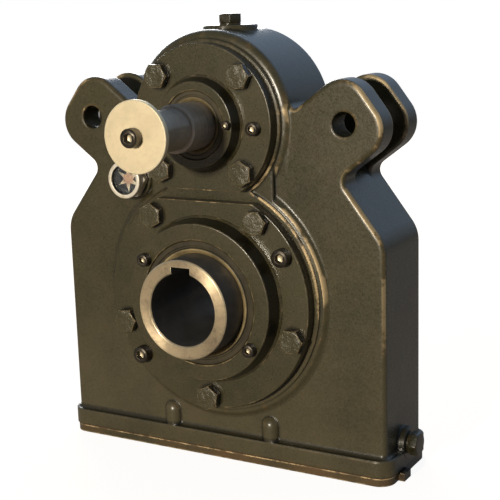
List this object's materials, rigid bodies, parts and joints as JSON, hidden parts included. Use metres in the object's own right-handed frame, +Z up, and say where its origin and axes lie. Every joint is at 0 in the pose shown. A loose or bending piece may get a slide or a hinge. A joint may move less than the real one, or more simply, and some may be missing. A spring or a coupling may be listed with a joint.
{
  "type": "shaft mounted gearbox",
  "caption": "Shaft mounted helical gearbox: cast housing with forked torque arm lugs, keyed hollow output shaft, smaller input shaft above it, and an oil sight glass.",
  "frame": {"origin": "on the axis of the hollow output shaft, halfway between the housing's front and rear walls", "axes": "+Z up from the inspection cover towards the input shaft, +Y along the output bore from the input side to the rear, +X to the right seen from the input side"},
  "size_m": [0.3004, 0.2219, 0.34],
  "materials": {
    "casing_paint": "glossy dark olive enamel on a cast iron skin",
    "cover_paint": "glossy dark olive enamel on machined cast iron",
    "bolt_paint": "dark olive enamel, brushed over the bolt heads",
    "plug_paint": "dark olive enamel",
    "dark_screw": "black oxide",
    "shaft_steel": "turned bright steel",
    "drive_shaft_steel": "turned steel with a dark oil film",
    "gear_steel": "hobbed and hardened",
    "bearing_steel": "ground and polished",
    "cage_brass": "machined",
    "key_steel": "drawn bar",
    "washer_steel": "bright zinc plate",
    "seal_rubber": "moulded, dark",
    "gasket_fibre": "brown fibre sheet",
    "plug_washer": "soft copper ring",
    "sight_body": "bright plated",
    "sight_lens": "clear",
    "sight_star": "copper coloured reflector"
  },
  "bodies": {
    "casing": {"housing": "casing_paint", "inspection_cover": "casing_paint", "inspection_gasket": "gasket_fibre", "inspection_cover_screws": "dark_screw", "output_cover_front": "cover_paint", "output_cover_rear": "cover_paint", "output_cover_gasket_front": "gasket_fibre", "output_cover_gasket_rear": "gasket_fibre", "output_cover_bolts_front": "bolt_paint", "output_cover_bolts_rear": "bolt_paint", "output_jack_screws": "dark_screw", "output_seal_carrier_front": "cover_paint", "output_seal_carrier_rear": "cover_paint", "output_carrier_screws": "dark_screw", "output_seal_front": "seal_rubber", "output_seal_rear": "seal_rubber", "input_cover_front": "cover_paint", "input_cover_rear": "cover_paint", "input_cover_gasket_front": "gasket_fibre", "input_cover_gasket_rear": "gasket_fibre", "input_cover_bolts_front": "bolt_paint", "input_cover_bolts_rear": "bolt_paint", "input_jack_screws": "dark_screw", "input_seal_carrier": "cover_paint", "input_carrier_screws": "dark_screw", "input_seal": "seal_rubber", "top_oil_plug": "plug_paint", "top_plug_washer": "plug_washer", "side_oil_plug": "plug_paint", "side_plug_washer": "plug_washer", "sight_glass_body": "sight_body", "sight_glass_lens": "sight_lens", "sight_glass_star": "sight_star", "sight_glass_washer": "plug_washer", "output_bearing_front_outer_ring": "bearing_steel", "output_bearing_rear_outer_ring": "bearing_steel", "input_bearing_front_outer_ring": "bearing_steel", "input_bearing_rear_outer_ring": "bearing_steel"},
    "output_rotor": {"hollow_output_shaft": "shaft_steel", "output_gear": "gear_steel", "output_gear_key": "key_steel", "output_gear_spacer": "gear_steel", "output_bearing_front_inner_ring": "bearing_steel", "output_bearing_rear_inner_ring": "bearing_steel"},
    "input_rotor": {"input_pinion_shaft": "drive_shaft_steel", "input_shaft_key": "key_steel", "retaining_washer": "washer_steel", "retaining_screw": "dark_screw", "input_bearing_front_inner_ring": "bearing_steel", "input_bearing_rear_inner_ring": "bearing_steel"},
    "output_bearing_front_set": {"output_bearing_front_balls": "bearing_steel", "output_bearing_front_cage": "cage_brass"},
    "output_bearing_rear_set": {"output_bearing_rear_balls": "bearing_steel", "output_bearing_rear_cage": "cage_brass"},
    "input_bearing_front_set": {"input_bearing_front_balls": "bearing_steel", "input_bearing_front_cage": "cage_brass"},
    "input_bearing_rear_set": {"input_bearing_rear_balls": "bearing_steel", "input_bearing_rear_cage": "cage_brass"}
  },
  "joints": [
    {"name": "output_spin", "type": "hinge", "parent": "casing", "child": "output_rotor", "pos_m": [0, 0, 0], "axis": [0, 1, 0], "continuous": true},
    {"name": "input_spin", "type": "hinge", "parent": "casing", "child": "input_rotor", "pos_m": [0, 0, 0.132], "axis": [0, 1, 0], "continuous": true},
    {"name": "output_front_cage_spin", "type": "hinge", "parent": "casing", "child": "output_bearing_front_set", "pos_m": [0, 0, 0], "axis": [0, 1, 0], "continuous": true},
    {"name": "input_front_cage_spin", "type": "hinge", "parent": "casing", "child": "input_bearing_front_set", "pos_m": [0, 0, 0.132], "axis": [0, 1, 0], "continuous": true},
    {"name": "output_rear_cage_spin", "type": "hinge", "parent": "casing", "child": "output_bearing_rear_set", "pos_m": [0, 0, 0], "axis": [0, 1, 0], "continuous": true},
    {"name": "input_rear_cage_spin", "type": "hinge", "parent": "casing", "child": "input_bearing_rear_set", "pos_m": [0, 0, 0.132], "axis": [0, 1, 0], "continuous": true}
  ],
  "couplings": [
    {"joint": "input_spin", "follows": "output_spin", "ratio": -5.0714},
    {"joint": "output_front_cage_spin", "follows": "output_spin", "ratio": 0.43684},
    {"joint": "input_front_cage_spin", "follows": "output_spin", "ratio": -2.0144},
    {"joint": "output_rear_cage_spin", "follows": "output_spin", "ratio": 0.43684},
    {"joint": "input_rear_cage_spin", "follows": "output_spin", "ratio": -2.0144}
  ]
}
